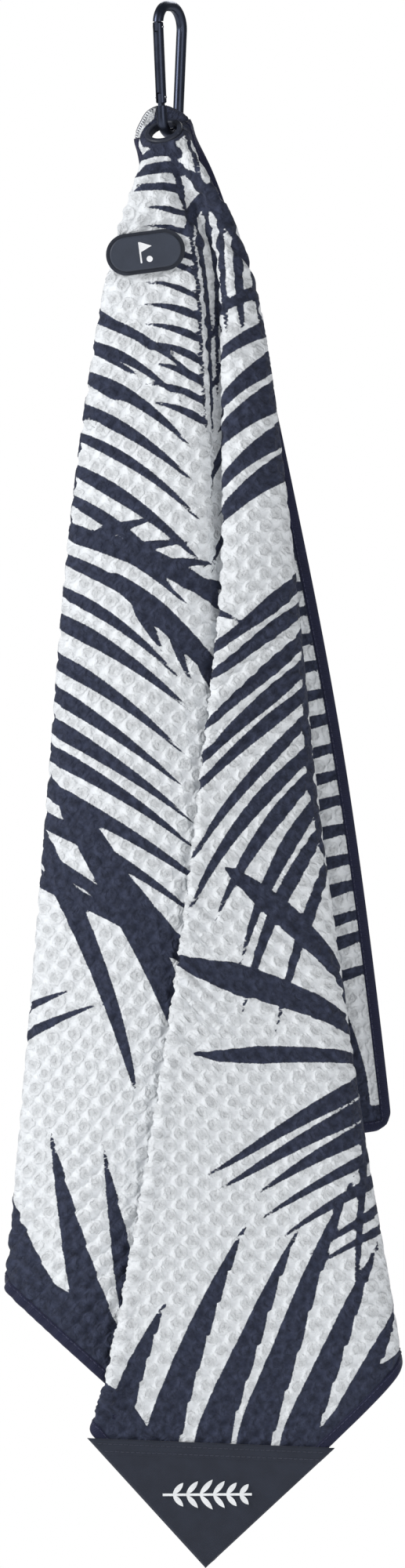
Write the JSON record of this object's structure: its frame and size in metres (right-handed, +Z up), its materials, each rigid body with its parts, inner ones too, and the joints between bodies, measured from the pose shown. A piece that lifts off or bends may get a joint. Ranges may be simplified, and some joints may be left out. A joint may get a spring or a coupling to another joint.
{
  "type": "golf towel",
  "caption": "Square waffle-weave golf towel with a leaf print, hung folded by one corner from a spring-gate carabiner through a grommet, with a magnet pad and a corner patch.",
  "frame": {"origin": "inside of the carabiner's crown, where a bag ring or hook carries it", "axes": "+Z up along the hanging towel, -Y towards the printed front, +X to the viewer's right"},
  "size_m": [0.1995, 0.0706, 0.7691],
  "materials": {
    "anodised_frame": "satin anodised, blue-black",
    "pin_steel": "plain steel",
    "grommet_finish": "matte blue-black",
    "towel_fabric": "printed waffle-weave microfibre, white with dark navy leaves",
    "binding_fabric": "navy binding",
    "pad_rubber": "matte slate-navy silicone",
    "pad_inlay": "white inlay",
    "magnet_steel": "nickel-plated magnet",
    "patch_fabric": "smooth slate-navy cloth",
    "patch_thread": "navy thread",
    "emblem_plastic": "raised white print"
  },
  "bodies": {
    "carabiner": {"carabiner_frame": "anodised_frame"},
    "gate": {"carabiner_gate": "anodised_frame", "gate_hinge_pin": "pin_steel", "gate_latch_pin": "pin_steel", "gate_spring": "pin_steel"},
    "plunger": {"gate_plunger": "pin_steel"},
    "towel": {"grommet_front": "grommet_finish", "grommet_back": "grommet_finish", "towel_front_panel": "towel_fabric", "towel_right_fold": "towel_fabric", "towel_left_fold": "towel_fabric", "edge_binding": "binding_fabric", "corner_overlock": "binding_fabric", "magnet_pad_cover": "pad_rubber", "pad_pictogram": "pad_inlay", "pad_ball_mark": "pad_inlay", "pad_magnet": "magnet_steel", "magnet_pad_back": "pad_rubber", "corner_patch": "patch_fabric", "patch_hem_tape": "patch_fabric", "patch_stitching": "patch_thread", "patch_emblem": "emblem_plastic"}
  },
  "joints": [
    {"name": "gate_hinge", "type": "hinge", "parent": "carabiner", "child": "gate", "pos_m": [-0.00435, -0.00754, -0.0426], "axis": [-0.866, 0.5, 0], "range_deg": [0, 25], "stiffness_Nm_per_rad": 0.03, "springref_deg": -11.46},
    {"name": "plunger_slide", "type": "slide", "parent": "gate", "child": "plunger", "axis": [-0.0418, -0.0725, 0.9965], "range_m": [0, 0.00065], "deforming": ["gate_spring"]},
    {"name": "towel_swing", "type": "hinge", "parent": "carabiner", "child": "towel", "pos_m": [0, 0, -0.0602], "axis": [0.5, 0.866, 0], "range_deg": [-12, 12]}
  ],
  "couplings": [
    {"joint": "plunger_slide", "follows": "gate_hinge", "m_per_rad": 0.0014895}
  ]
}
